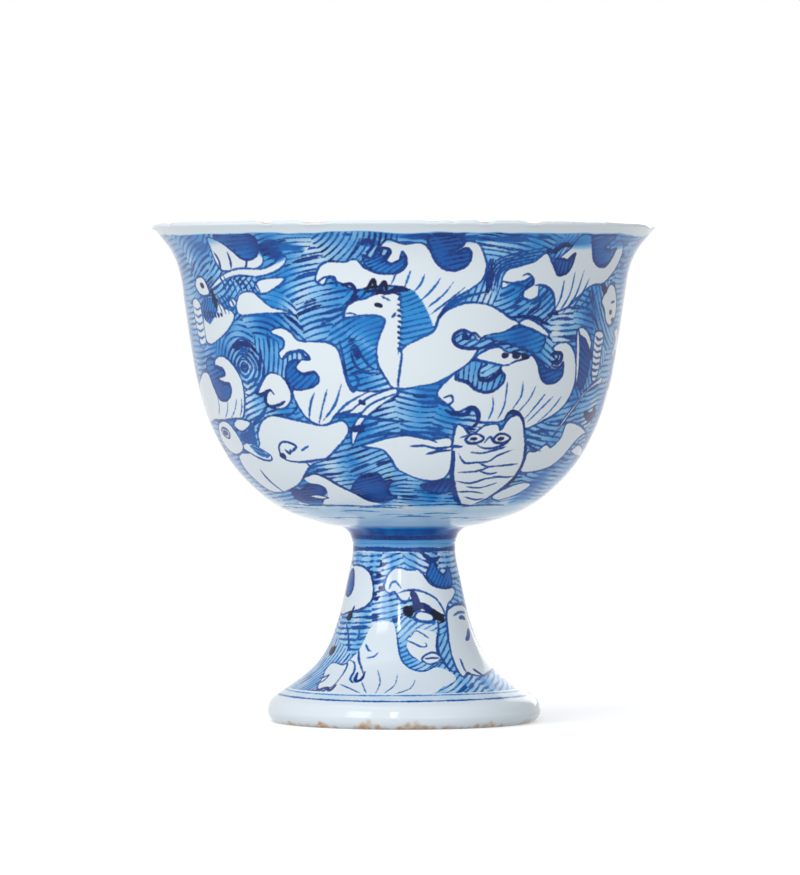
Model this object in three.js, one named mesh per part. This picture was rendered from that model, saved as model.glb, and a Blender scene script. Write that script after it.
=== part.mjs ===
// A porcelain stem cup: a flared bowl on a tall spreading foot, joined by a layer of clay slip.
// Millimetres, +Z up, with the origin on the table under the middle of the foot.
import * as THREE from "three";

// Driving dimensions
const RIM_RADIUS = 50;
const HEIGHT = 98.8;
const LIP_THICKNESS = 1.3;
const WALL = 2.4;
const FLOOR_HEIGHT = 43.2;
const NECK_RADIUS = 10.4;
const FOOT_RADIUS = 27.2;
const FOOT_ROLL_HEIGHT = 2.4;
const CONTACT_OUTER_RADIUS = 25;
const CONTACT_INNER_RADIUS = 22.6;
const BASE_RECESS_RADIUS = 20.4;
const BASE_RECESS_DEPTH = 3.6;

// The joint between bowl and stem: a shallow tenon in a wider socket, bedded in slip
const JOINT_HEIGHT = 35.6;
const SLIP_THICKNESS = 0.8;
const TENON_RADIUS = 5;
const TENON_HEIGHT = 1.6;
const SOCKET_GAP = 0.6;
const SOCKET_TOP_GAP = 0.4;
const STEM_TOP_RADIUS = 10.15;

// Smoothness of the turned forms
const SEGMENTS = 48;

const PORCELAIN = { color: 0xe6edf0, roughness: 0.12, metalness: 0 };
const SLIP = { color: 0xb9cfe0, roughness: 0.2, metalness: 0 };

const BOWL_SEAT = JOINT_HEIGHT + SLIP_THICKNESS;
const TENON_TOP = JOINT_HEIGHT + TENON_HEIGHT;
const SOCKET_RADIUS = TENON_RADIUS + SOCKET_GAP;
const SOCKET_TOP = TENON_TOP + SOCKET_TOP_GAP;

const at = (radius, height) => new THREE.Vector2(radius, height);

// Points along a smooth curve through the given places, as [radius, height] pairs
function smooth(places, count) {
  const curve = new THREE.SplineCurve(places.map(([r, z]) => at(r, z)));
  return curve.getSpacedPoints(count);
}

// A turned solid, whose profile runs from the axis round its outside and back to the axis
function turned(name, profile, finish) {
  const clean = profile.filter((p, i) => i === 0 || p.distanceTo(profile[i - 1]) > 0.01);
  const geometry = new THREE.LatheGeometry(clean, SEGMENTS);
  geometry.rotateX(Math.PI / 2);
  const mesh = new THREE.Mesh(geometry, new THREE.MeshStandardMaterial(finish));
  mesh.name = name;
  return mesh;
}

// The bowl's outside, from the seat on the slip up to the flared lip
function bowlOutside() {
  const shoulder = smooth(
    [
      [NECK_RADIUS, BOWL_SEAT],
      [11.0, 37.7],
      [12.6, 38.8],
      [16.5, 39.6],
      [23.4, 42.0],
      [29.2, 46.0],
      [34.6, 52.0],
      [38.7, 59.9],
      [41.1, 67.9],
      [42.5, 75.8],
      [43.7, 83.8],
      [44.7, 89.8],
      [46.2, 93.5],
      [48.3, 96.3],
      [RIM_RADIUS, HEIGHT - 0.7],
    ],
    24,
  );
  return shoulder;
}

// The bowl's inside, from the lip down to the middle of its floor
function bowlInside() {
  const side = smooth(
    [
      [RIM_RADIUS - LIP_THICKNESS, HEIGHT - 0.4],
      [46.2, 95.6],
      [44.2, 92.4],
      [44.7 - WALL, 88.2],
      [43.3 - WALL, 81.0],
      [41.7 - WALL, 72.0],
      [39.4 - WALL, 63.6],
      [34.4, 57.2],
      [29.4, 50.9],
      [23.0, 46.4],
      [15.0, 44.0],
      [7.0, FLOOR_HEIGHT + 0.1],
      [0, FLOOR_HEIGHT],
    ],
    18,
  );
  return side;
}

function bowl() {
  const socket = [at(0, SOCKET_TOP), at(SOCKET_RADIUS, SOCKET_TOP), at(SOCKET_RADIUS, BOWL_SEAT)];
  const lip = [at(RIM_RADIUS - 0.15, HEIGHT - 0.25), at(RIM_RADIUS - 0.6, HEIGHT)];
  const profile = [...socket, ...bowlOutside(), ...lip, ...bowlInside()];
  return turned("bowl", profile, PORCELAIN);
}

// The slip fills the space between the tenon and the socket, and shows as a band round the neck
function lutingSlip() {
  const profile = [
    at(0, TENON_TOP),
    at(TENON_RADIUS, TENON_TOP),
    at(TENON_RADIUS, JOINT_HEIGHT),
    at(STEM_TOP_RADIUS, JOINT_HEIGHT),
    at(NECK_RADIUS, BOWL_SEAT),
    at(SOCKET_RADIUS, BOWL_SEAT),
    at(SOCKET_RADIUS, SOCKET_TOP),
    at(0, SOCKET_TOP),
  ];
  return turned("luting_slip", profile, SLIP);
}

// The stem's outside, from the rolled edge of the foot up to the joint
function stemOutside() {
  return smooth(
    [
      [FOOT_RADIUS, FOOT_ROLL_HEIGHT],
      [26.5, 4.3],
      [24.7, 5.8],
      [20.4, 8.8],
      [17.0, 12.0],
      [14.6, 16.0],
      [12.7, 21.6],
      [11.3, 27.9],
      [10.3, 32.7],
      [STEM_TOP_RADIUS, JOINT_HEIGHT],
    ],
    15,
  );
}

function stemFoot() {
  const rollRise = FOOT_ROLL_HEIGHT;
  const rollDepth = FOOT_RADIUS - CONTACT_OUTER_RADIUS;
  const underRoll = [0, 1, 2, 3].map((i) => {
    const turn = (i / 4) * (Math.PI / 2);
    return at(
      CONTACT_OUTER_RADIUS + rollDepth * Math.sin(turn),
      rollRise * (1 - Math.cos(turn)),
    );
  });
  const recess = smooth(
    [
      [0, BASE_RECESS_DEPTH + 0.5],
      [BASE_RECESS_RADIUS - 4, BASE_RECESS_DEPTH + 0.3],
      [BASE_RECESS_RADIUS, BASE_RECESS_DEPTH - 0.4],
      [21.8, 1.9],
      [CONTACT_INNER_RADIUS, 0],
    ],
    9,
  );
  const tenon = [at(TENON_RADIUS, JOINT_HEIGHT), at(TENON_RADIUS, TENON_TOP), at(0, TENON_TOP)];
  return turned("stem_foot", [...recess, ...underRoll, ...stemOutside(), ...tenon], PORCELAIN);
}

const cup = new THREE.Group();
cup.add(stemFoot(), lutingSlip(), bowl());

export default cup;
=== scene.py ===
"""A porcelain stem cup painted in underglaze blue with animals among waves.

The painting lives on the turned surfaces. Brush strokes, white shapes and hatched water are worked out
in millimetres on the surface, then stored on each vertex for the glaze material to colour.
Places on the surface are angle and height: degrees from the front, positive to the right, and
millimetres above the table. A list of places is either pairs or one run of angle, height, angle, ...
"""

import math

import bpy
import numpy as np
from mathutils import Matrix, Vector


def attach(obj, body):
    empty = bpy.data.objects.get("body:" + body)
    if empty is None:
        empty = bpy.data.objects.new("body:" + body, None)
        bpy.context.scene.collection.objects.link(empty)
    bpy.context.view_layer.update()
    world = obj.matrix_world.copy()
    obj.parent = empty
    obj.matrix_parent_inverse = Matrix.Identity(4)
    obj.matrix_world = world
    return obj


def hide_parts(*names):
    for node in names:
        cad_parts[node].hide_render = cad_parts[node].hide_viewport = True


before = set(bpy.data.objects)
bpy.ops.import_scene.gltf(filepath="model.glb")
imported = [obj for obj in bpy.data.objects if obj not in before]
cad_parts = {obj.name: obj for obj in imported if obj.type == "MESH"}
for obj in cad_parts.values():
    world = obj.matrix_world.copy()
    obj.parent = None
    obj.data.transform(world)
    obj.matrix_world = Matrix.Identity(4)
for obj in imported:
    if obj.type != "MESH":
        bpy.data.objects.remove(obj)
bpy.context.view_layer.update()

MM = 0.001
RNG = np.random.default_rng(7)

# Turned outlines, as (radius, height) in millimetres
BOWL_OUTSIDE = [
    (10.4, 36.4), (11.0, 37.7), (12.6, 38.8), (16.5, 39.6), (23.4, 42.0), (29.2, 46.0), (34.6, 52.0),
    (38.7, 59.9), (41.1, 67.9), (42.5, 75.8), (43.7, 83.8), (44.7, 89.8), (46.2, 93.5), (48.3, 96.3),
    (50.0, 98.1),
]
BOWL_LIP = [(50.0, 98.1), (49.85, 98.55), (49.4, 98.8), (48.95, 98.7), (48.7, 98.4)]
BOWL_INSIDE = [
    (48.7, 98.4), (46.2, 95.6), (44.2, 92.4), (42.3, 88.2), (40.9, 81.0), (39.3, 72.0), (37.0, 63.6),
    (34.4, 57.2), (29.4, 50.9), (23.0, 46.4), (15.0, 44.0), (7.0, 43.3), (0.02, 43.2),
]
BOWL_SOCKET = [(0.02, 37.6), (5.6, 37.6), (5.6, 36.4), (10.4, 36.4)]
STEM_OUTSIDE = [
    (27.2, 2.4), (26.5, 4.3), (24.7, 5.8), (20.4, 8.8), (17.0, 12.0), (14.6, 16.0), (12.7, 21.6),
    (11.3, 27.9), (10.3, 32.7), (10.15, 35.6),
]
STEM_RECESS = [(0.02, 4.1), (16.4, 3.9), (20.4, 3.2), (21.8, 1.9), (22.6, 0.0)]
STEM_TENON = [(10.15, 35.6), (5.0, 35.6), (5.0, 37.2), (0.02, 37.2)]
SLIP_PROFILE = [
    (0.02, 37.2), (5.0, 37.2), (5.0, 35.6), (10.15, 35.6), (10.32, 36.0), (10.4, 36.4), (5.6, 36.4),
    (5.6, 37.6), (0.02, 37.6),
]
FOOT_RADIUS = 27.2
FOOT_ROLL_HEIGHT = 2.4
CONTACT_RADIUS = 25.0

# Columns of vertices round each piece, and the length between rows
BOWL_COLUMNS = 1200
STEM_COLUMNS = 720
BOWL_ROW_STEP = 0.22
STEM_ROW_STEP = 0.16

# Sizes on the painted band are measured at this radius, so once round it is ROUND long
BAND_RADIUS = 42
ROUND = 2 * math.pi * BAND_RADIUS

# A line's value is how far a place lies inside the brush mark, and NO_LINE where none is near
NO_LINE = -2.0
SOFT_EDGE = 0.35
STROKE_STEP = 0.13
SEA_SPACING = 1.12

# Heights at which the painting changes, from the bare lip down to the foot
BARE_LIP = 96.3
BORDER_FOOT = 93.9
PALE_BELOW = 44.6
NECK_WASH_TOP = 39.3
NECK_LINE = 36.9
STEM_PICTURE = (6.9, 34.0)
STEM_TOP_WASH = 34.9
FOOT_LINES = (5.6, 6.5)

# The rings under the foot, as (radius, half width of the line)
MARK_RINGS = ((15.2, 0.28), (14.1, 0.2))
LIP_CHIPS = 46


def through(places, closed=False, steps=12):
    """Points on a smooth curve through the given places."""
    p = np.array(places, float).reshape(-1, 2)
    n = len(p)
    spans = n if closed else n - 1
    t = np.linspace(0, 1, steps, endpoint=False)[:, None]
    out = []
    for i in range(spans):
        if closed:
            a, b, c, d = (p[k % n] for k in (i - 1, i, i + 1, i + 2))
        else:
            a, b, c, d = (p[min(max(k, 0), n - 1)] for k in (i - 1, i, i + 1, i + 2))
        v, w = (c - a) / 2, (d - b) / 2
        out.append((2 * b - 2 * c + v + w) * t**3 + (3 * c - 3 * b - 2 * v - w) * t**2 + v * t + b)
    if not closed:
        out.append(p[-1:])
    return np.concatenate(out)


def spaced(points, step):
    """The same line with points a fixed length apart."""
    run = np.concatenate([[0], np.cumsum(np.hypot(*np.diff(points, axis=0).T))])
    count = max(2, int(math.ceil(run[-1] / step)) + 1)
    at = np.linspace(0, run[-1], count)
    return np.stack([np.interp(at, run, points[:, k]) for k in (0, 1)], axis=1)


def ripple(x, y, size, seed):
    """A smooth random field between -1 and 1, with features of about the given size."""
    rng = np.random.default_rng(seed)
    total = np.zeros(np.broadcast(x, y).shape)
    join = np.clip((x - ROUND / 2 + 15) / 15, 0, 1)
    for _ in range(7):
        turn = rng.uniform(0, 2 * math.pi)
        pitch = 2 * math.pi / (size * rng.uniform(1.2, 3.2))
        start = rng.uniform(0, 2 * math.pi)
        for share, along in ((1 - join, x), (join, x - ROUND)):
            total += share * np.sin((along * math.cos(turn) + y * math.sin(turn)) * pitch + start)
    return total / 3.5


class Painting:
    """The painted part of a turned surface: rows up the profile, columns round it."""

    def __init__(self, profile, columns):
        self.r, self.z = profile[:, 0], profile[:, 1]
        self.t = np.concatenate([[0], np.cumsum(np.hypot(*np.diff(profile, axis=0).T))])
        self.columns = columns
        self.step = 360 / columns
        shape = (len(self.r), columns)
        self.line = np.full(shape, NO_LINE)
        self.deep = np.zeros(shape)
        self.wash = np.zeros(shape)
        self.angle = np.arange(columns) * self.step - 180
        self.x = np.radians(self.angle)[None, :] * BAND_RADIUS + np.zeros(shape)
        self.y = self.t[:, None] + np.zeros(shape)
        self.turn = 0.0

    def spot(self, places):
        """Places on the cup as (angle, length up the profile), moved to where this side is painted."""
        p = np.array(places, float)
        p[:, 0] += self.turn
        p[:, 1] = np.interp(p[:, 1], self.z, self.t)
        return p

    def stroke(self, places, width, tone, taper=0.5, closed=False):
        """A brush stroke of the given width and darkness, thinner at its ends."""
        p = self.spot(through(places, closed))
        radius = np.interp(p[:, 1], self.t, self.r)
        around = np.radians(p[:, 0]) * radius.mean()
        flat = spaced(np.stack([around, p[:, 1]], axis=1), STROKE_STEP)
        n = len(flat)
        along = np.linspace(-1, 1, n)
        half = width / 2 * (1 - (0 if closed else taper) * np.abs(along) ** 4)
        half = half * (1 + 0.16 * np.sin(np.arange(n) * 0.09 + RNG.uniform(0, 6)))
        angle = np.degrees(flat[:, 0] / radius.mean())
        row = np.interp(flat[:, 1], self.t, np.arange(len(self.t)))
        reach = width / 2 + SOFT_EDGE
        rows = int(math.ceil(reach / (self.t[-1] / len(self.t)))) + 1
        cols = int(math.ceil(reach / (math.radians(self.step) * radius.min()))) + 1
        dr, dc = np.meshgrid(np.arange(-rows, rows + 1), np.arange(-cols, cols + 1), indexing="ij")
        i = np.clip(np.round(row)[:, None].astype(int) + dr.ravel(), 0, len(self.t) - 1)
        j = np.round((angle + 180) / self.step)[:, None].astype(int) + dc.ravel()
        off = np.radians(j * self.step - 180 - angle[:, None]) * self.r[i]
        gap = np.hypot(off, self.t[i] - flat[:, 1][:, None])
        value = half[:, None] - gap
        near = value > -SOFT_EDGE
        i, j, value = i[near], j[near] % self.columns, value[near]
        np.maximum.at(self.line, (i, j), value)
        np.maximum.at(self.deep, (i, j), tone)

    def row(self, count, places, steps, width, tone):
        """Strokes side by side, each with its places moved on from the last by the same steps."""
        for k in range(count):
            self.stroke(np.array(places) + k * np.array(steps), width, tone)

    def inside(self, places):
        """Row and column numbers of the vertices inside a closed outline."""
        p = self.spot(through(places, True, 6))
        c0 = int(math.floor((p[:, 0].min() + 180) / self.step))
        c1 = int(math.ceil((p[:, 0].max() + 180) / self.step))
        rows = np.nonzero((self.t >= p[:, 1].min()) & (self.t <= p[:, 1].max()))[0]
        cols = np.arange(c0, c1 + 1)
        x, y = (cols * self.step - 180)[None, :], self.t[rows][:, None]
        hit = np.zeros((len(rows), len(cols)), bool)
        for (ax, ay), (bx, by) in zip(p, np.roll(p, -1, axis=0)):
            if ay != by:
                hit ^= ((ay > y) != (by > y)) & (x < (bx - ax) * (y - ay) / (by - ay) + ax)
        i, j = np.nonzero(hit)
        return rows[i], cols[j] % self.columns

    def reserve(self, places, width=0.45, tone=0.62, edge=True):
        """A white shape left in the blue, with its outline."""
        i, j = self.inside(places)
        self.line[i, j] = NO_LINE
        self.deep[i, j] = 0
        self.wash[i, j] = 0.02
        if edge:
            self.stroke(places, width, tone, closed=True)

    def water(self, i, j, tilt, radius, spacing, tone, wash):
        """Parallel curved lines at the given vertices."""
        seed = len(i)
        x, y = self.x[i, j] * self.r[i] / BAND_RADIUS, self.y[i, j]
        cx = self.x[i, j].mean() * self.r[i].mean() / BAND_RADIUS
        lean = math.radians(tilt)
        mx, my = cx - math.sin(lean) * radius, y.mean() + math.cos(lean) * radius
        far = np.hypot(x - mx, y - my) + 0.3 * ripple(x, y, 5, seed)
        phase = far / spacing
        half = 0.19 + 0.07 * ripple(x, y, 3, seed + 1)
        value = half - np.abs(phase - np.floor(phase) - 0.5) * spacing
        self.line[i, j] = np.maximum(self.line[i, j], value)
        shade = tone + 0.16 * ripple(x, y, 4, seed + 2)
        self.deep[i, j] = np.where(value > -0.3, np.maximum(self.deep[i, j], shade), self.deep[i, j])
        self.wash[i, j] = wash + 0.13 * ripple(x, y, 6, seed + 3)

    def pool(self, places, tilt, radius, spacing, tone, wash, edge=0.45):
        """A hatched hollow with an outline, such as the inside of a curling wave."""
        i, j = self.inside(places)
        self.line[i, j] = NO_LINE
        self.deep[i, j] = 0
        self.water(i, j, tilt, radius, spacing, tone, wash)
        if edge:
            self.stroke(places, edge, 0.8, closed=True)

    def fan(self, lines, width=0.36, tone=0.42):
        """Fine lines that spread through the foot of a wave."""
        for line in lines:
            self.stroke(line, width, tone, taper=0.75)

    def blot(self, angle, height, wide, tall, depth):
        """A soft patch of darker wash. Sizes are half widths in millimetres."""
        place = self.spot([(angle, height)])[0]
        off = (self.angle[None, :] - place[0] + 180) % 360 - 180
        x = np.radians(off) * self.r[:, None] / wide
        y = (self.y - place[1]) / tall
        amount = np.clip(1.35 - np.hypot(x, y) + 0.25 * ripple(self.x, self.y, 2.5, 5), 0, 1)
        self.wash = np.maximum(self.wash, depth * np.minimum(1, amount * 1.6))


# The sea behind the animals: angle, height, tilt of the lines and radius of their curve
SEA = [
    (-75, 88, 5, 60), (-72, 79, 2, 60), (-62, 91, 24, -30), (-56, 87, 28, 40), (-48, 70.5, 0, 0.1),
    (-50, 93, 40, 20), (-32, 94, 12, -60), (-25, 87, 15, -40), (-22, 81, 16, -40), (-34, 79, -28, -14),
    (-36, 72, 80, 18), (-45, 64, 16, -30), (-58, 57, 12, 30), (-74, 63, 0, 30), (-74, 52, 4, 50),
    (-60, 48, 8, 60), (-24, 55, 18, -50), (-12, 53, 22, -40), (-27, 50, 12, -50), (-12, 94, 60, 12),
    (-14, 78, 32, 25), (4, 63, -6, 30), (14, 61, -14, 25), (-8, 62, 14, 50), (10, 96, 4, 60),
    (24, 94, -10, -50), (22, 88, 78, 25), (30, 84, 28, 24), (38, 83, 38, 20), (28, 78, 15, -30),
    (38, 76, -20, -24), (46, 78, 4, -40), (54, 79, -6, -40), (57, 70, -60, 30), (50, 62, 10, 40),
    (62, 82, -50, 25), (66, 93, 0, 60), (75, 88, 5, 60), (48, 57, -8, 40), (66, 63, 14, 40),
    (62, 50, -6, 60), (76, 64, 6, 40), (36, 44, 6, 60), (10, 44, -4, 90), (-20, 44, 4, 90),
    (88, 90, -20, 30), (92, 80, 20, -30), (90, 70, -14, 30), (88, 60, 10, 40), (92, 50, -6, 60),
]
STEM_SEA = [
    (-70, 33, 4, 60), (-40, 32, 4, 60), (-10, 32, 20, 30), (10, 33, -30, 20), (-15, 22, 12, 40),
    (-45, 21, 4, 60), (-66, 11, 70, 20), (30, 8, 34, 30), (60, 8, 26, 40), (86, 9, 30, 30),
    (90, 26, -10, 40), (70, 33, 4, 60),
]

# The darker patches of the border under the lip: angle, height, half sizes and depth
RIM_BLOTS = [
    (-34, 93.2, 3.4, 2.2, 0.95), (-29, 93.6, 3, 1.0, 0.8), (-43, 94.4, 3.6, 1.6, 0.8),
    (-58, 94, 3.5, 1.4, 0.7), (-13, 96, 1.2, 0.5, 0.9), (3, 95.6, 3.6, 0.8, 0.92),
    (12, 95.4, 4.4, 0.7, 0.85), (24, 95.2, 5, 0.8, 0.86), (34, 95.6, 2.4, 0.5, 0.9),
    (40, 94.2, 1.6, 0.6, 0.85), (55, 95, 3.4, 0.9, 0.86), (-8, 94.4, 2.4, 0.8, 0.75),
    (66, 95.6, 4, 0.7, 0.6), (-48, 96, 2, 0.5, 0.9), (80, 94.6, 4, 0.9, 0.75),
]

# Where things are painted round the cup: the front and the same animals on the back, then the gaps
SIDES = (0, 180)
TALL_WAVES = (112, -68)
SMALL_WAVES = (58, -122)


def accents(s, angle, t, tilt, radius):
    """A few dark brush strokes that follow the water lines of one patch."""
    if abs(radius) < 5:
        return
    lean = math.radians(tilt)
    scale = math.degrees(1 / np.interp(t, s.t, s.r))
    for _ in range(3):
        reach = radius + RNG.uniform(-4.5, 4.5)
        middle, half = RNG.uniform(-4, 4) / radius, RNG.uniform(1.2, 3.2) / radius
        places = []
        for swing in (middle - half, middle, middle + half):
            x = -math.sin(lean) * radius + math.sin(lean + swing) * reach
            y = math.cos(lean) * radius - math.cos(lean + swing) * reach
            places.append((angle + x * scale, float(np.interp(t + y, s.t, s.z))))
        s.stroke(places, RNG.uniform(0.45, 0.85), RNG.uniform(0.66, 0.86), 1.0)


def paint_sea(s, sea):
    """Fills the whole band with hatched water, each patch with its own direction."""
    homes = []
    for turn in SIDES:
        for angle, height, tilt, radius in sea:
            t = float(np.interp(height, s.z, s.t))
            homes.append(((turn + angle + 180) % 360 - 180, t, tilt, radius))
    best = np.full(s.line.shape, 1e9)
    owner = np.zeros(s.line.shape, int)
    for k, (angle, t, tilt, radius) in enumerate(homes):
        off = np.radians((s.angle[None, :] - angle + 180) % 360 - 180) * s.r[:, None]
        gap = np.hypot(off, s.y - t)
        closer = gap < best
        best[closer] = gap[closer]
        owner[closer] = k
    for k, (angle, t, tilt, radius) in enumerate(homes):
        i, j = np.nonzero(owner == k)
        off = np.radians((s.angle[j] - angle + 180) % 360 - 180) * s.r[i]
        lean = math.radians(tilt)
        far = np.hypot(off + math.sin(lean) * radius, s.t[i] - t - math.cos(lean) * radius)
        calm = 0.26 * s.r[i] / BAND_RADIUS
        far = far + calm * ripple(s.x[i, j], s.y[i, j], 6, k)
        phase = far / SEA_SPACING
        half = 0.215 + 0.09 * ripple(s.x[i, j], s.y[i, j], 3, k + 50)
        s.line[i, j] = half - np.abs(phase - np.floor(phase) - 0.5) * SEA_SPACING
        s.deep[i, j] = 0.66 + 0.18 * ripple(s.x[i, j], s.y[i, j], 4, k + 90)
    s.wash[:] = 0.38 + 0.17 * ripple(s.x, s.y, 8, 130) + 0.07 * ripple(s.x, s.y, 3, 131)
    for home in homes:
        accents(s, *home)


def paint_upper_left(s):
    """A winged creature with a bird's head, and a horned fish behind it."""
    s.reserve([-54.5, 92, -53.5, 95.5, -50.5, 95.3, -47, 93.6, -44, 91.6, -40.5, 91.4, -38, 92.6,
        -37.4, 95, -36.9, 92.5, -37.3, 90.6, -40, 89.6, -46, 89.2, -50, 89.2, -53, 89.6])
    s.pool([-50, 96, -47, 93.7, -44, 91.7, -40.5, 91.5, -38.2, 92.7, -37.8, 96], 0, 30, 1, 0.7, 0.8)
    s.fan([[-53.6, 93, -52.7, 91, -53, 89], [-48.3, 93, -48.2, 91, -48.6, 89.6], [-42.3, 91.4, -42.8, 90.3,
        -43.6, 89.4]], 0.6, 0.75)
    s.reserve([-60, 85.4, -55, 87.7, -50, 89.1, -45, 89.7, -38, 89.6, -34, 90.6, -31.5, 91.8, -29.9, 91.7,
        -31.5, 90, -35, 88.7, -40, 88.1, -46, 88.3, -51, 87.7, -56, 86.2])
    s.reserve([-40.8, 86.3, -39, 87.5, -35, 87.8, -31, 87.8, -33, 86.4, -37, 85, -39.6, 85])
    s.reserve([-48, 83.4, -46, 84.9, -42, 85.2, -39.4, 84, -36, 82.2, -32, 81.6, -28.5, 80.4, -31, 81,
        -36, 81, -42, 80.8, -47, 80.7, -48.4, 82])
    s.reserve([-51.2, 83.2, -49.6, 84, -48.2, 83.2, -49, 82.2, -50.5, 82.3], 0.4)
    s.reserve([-65.6, 80, -65, 83, -61, 84.4, -57.5, 84, -53.5, 82.2, -50, 81.3, -50, 79.8, -53, 77.7,
        -58, 76, -62.5, 75, -65.6, 75.8])
    s.pool([-65.4, 80.5, -64.8, 83, -61, 84.2, -57.3, 83.6, -56.5, 81.8, -59, 80.2, -62, 79], 60, 8, 1.0,
        0.75, 0.62, 0)
    s.row(7, [-64.5, 81.6, -63.9, 79.8], [1.5, -0.1, 1.5, 0.12], 0.7, 0.85)
    s.row(5, [-57.6, 84.6, -56, 83, -54.6, 81], [1.5, 0, 1.6, 0, 1.5, 0], 0.45, 0.6)
    s.row(7, [-54, 88.2, -52.5, 86.7, -51.7, 85.1], [2, -0.1, 2, 0, 2.1, 0], 0.5, 0.6)
    s.reserve([-68, 86.6, -66, 88.1, -62.4, 88, -60.4, 86.4, -59.8, 84.9, -62.5, 84.4, -65.7, 84.9], 0.55,
        0.7)
    s.stroke([-64.3, 86.7, -62.6, 86.3], 1.0, 0.95)
    s.stroke([-58.6, 85.2, -57.6, 83.6, -57.2, 82.4], 1.4, 0.95)
    s.reserve([-72.3, 82.4, -70, 84, -66.5, 83, -65.8, 79, -66.3, 75, -70.4, 75], 0.4, 0.5)
    s.row(6, [-72, 82.4, -69, 81.8, -66.3, 82.2], [0, -1.4] * 3, 0.5, 0.5)


def paint_left(s):
    """The hand-like wave, the small wave and the round eddy."""
    for k in range(5):
        a, h = 1.5 + 1.55 * k, 0.9 + 1.15 * k
        s.stroke([(-48 - a, 70.6), (-48, 70.6 + h), (-48 + a, 70.6), (-48, 70.6 - h)], 0.5, 0.6,
            closed=True)
    s.stroke([-51.5, 74.4, -48, 75.2, -45, 74.7], 1.1, 0.85)
    s.stroke([-49.5, 70.6, -47, 70.7], 0.9, 0.8)
    s.reserve([-84, 66, -76, 68.5, -72, 69.6, -68, 69.3, -66, 66.5, -64, 64.4, -60, 64, -56.5, 65.3,
        -56, 67.3, -58.5, 67.5, -61.8, 68.4, -57.7, 69, -58.2, 70.3, -62.2, 70.9, -61, 72.3, -57, 72.7,
        -53, 71.2, -50.3, 68.5, -50, 65.5, -51.5, 62.5, -53.5, 60.8, -58, 60.5, -64, 60.2, -72, 60.1,
        -84, 60], 0.5, 0.66)
    s.pool([-65.7, 66.7, -64, 64.5, -60, 64.1, -56.4, 65.4, -56.1, 67.1, -59, 67.2, -62.2, 68.3, -58, 69.2,
        -58.6, 70, -62.6, 70.6, -63.5, 72.4, -68, 71.5, -67.5, 69], 12, 40, 1.0, 0.66, 0.75)
    s.fan([[-60, 60.6, -56.5, 62.2, -54, 64.5], [-64, 60.5, -61, 62, -59.5, 63.6], [-68, 61, -65.5, 63,
        -65, 65], [-55, 60.8, -52.8, 62.5, -51.8, 64.5]])
    s.reserve([-44.2, 65.6, -42.2, 67.6, -39.3, 69.4, -36, 69.3, -33.5, 67.7, -32.4, 65.3, -34, 63.3,
        -37, 62.5, -40, 62.8, -41.6, 63.6, -41.2, 65.2, -40, 66.1, -42, 65.6], 0.5, 0.68)
    s.stroke([-45.3, 65.5, -43, 65.3, -41, 65.9, -39.4, 66.1, -38.3, 65.3], 0.7, 0.85)
    s.stroke([-41.2, 65.3, -42.2, 64, -40.3, 63, -37, 63.4, -35, 64], 0.8, 0.8)
    s.stroke([-33, 68.3, -30.8, 65.5, -31.2, 63, -34.5, 61.3, -39, 60.4], 0.55, 0.75)
    s.stroke([-41.7, 63.2, -44, 61.6, -48, 60, -53, 58], 0.9, 0.7)


def paint_left_wave(s):
    """The tall white wave left of the horse."""
    s.reserve([-37, 77.4, -34, 78.3, -31, 77.6, -28.4, 75.8, -24, 75.6, -20, 75.4, -17.4, 74, -16.4, 71,
        -14.5, 67, -10, 66, -4, 66, -8, 64.5, -14, 62.5, -19.5, 61.4, -21.5, 60, -24.5, 59.4, -28.5, 60.6,
        -31, 63.4, -32, 66, -30, 66.5, -26, 66.7, -23.4, 68, -24.5, 69.7, -28, 69.4, -30, 70.5, -28.2, 72,
        -25.6, 72.2, -27.6, 73.8, -31, 73.4, -34, 72.2, -35, 73.4, -33.3, 74.6, -33.4, 76], 0.5, 0.68)
    s.pool([-31.5, 66.4, -26, 66.7, -23.4, 68.1, -24.5, 69.5, -28, 69.2, -30.2, 70.6, -29, 72, -32, 71.5,
        -33.5, 69], 42, 30, 1.0, 0.66, 0.7)
    s.stroke([-34, 72.3, -31.5, 73.6, -28.5, 73.6, -27, 72.6, -25.5, 72.1], 0.6, 0.75)
    s.fan([[-28, 60.4, -26.8, 63.5, -25.1, 65.8], [-25, 59.8, -23.2, 63, -21.3, 66.3], [-23.8, 60.2,
        -19.6, 63.3, -17, 67.5], [-21, 60.6, -15.5, 63.8, -9.5, 66]], 0.5, 0.55)
    s.stroke([-17, 75.6, -16, 72, -15.8, 69.5, -14, 66, -12.2, 68.2, -14.2, 69.4], 0.7, 0.7)


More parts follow.
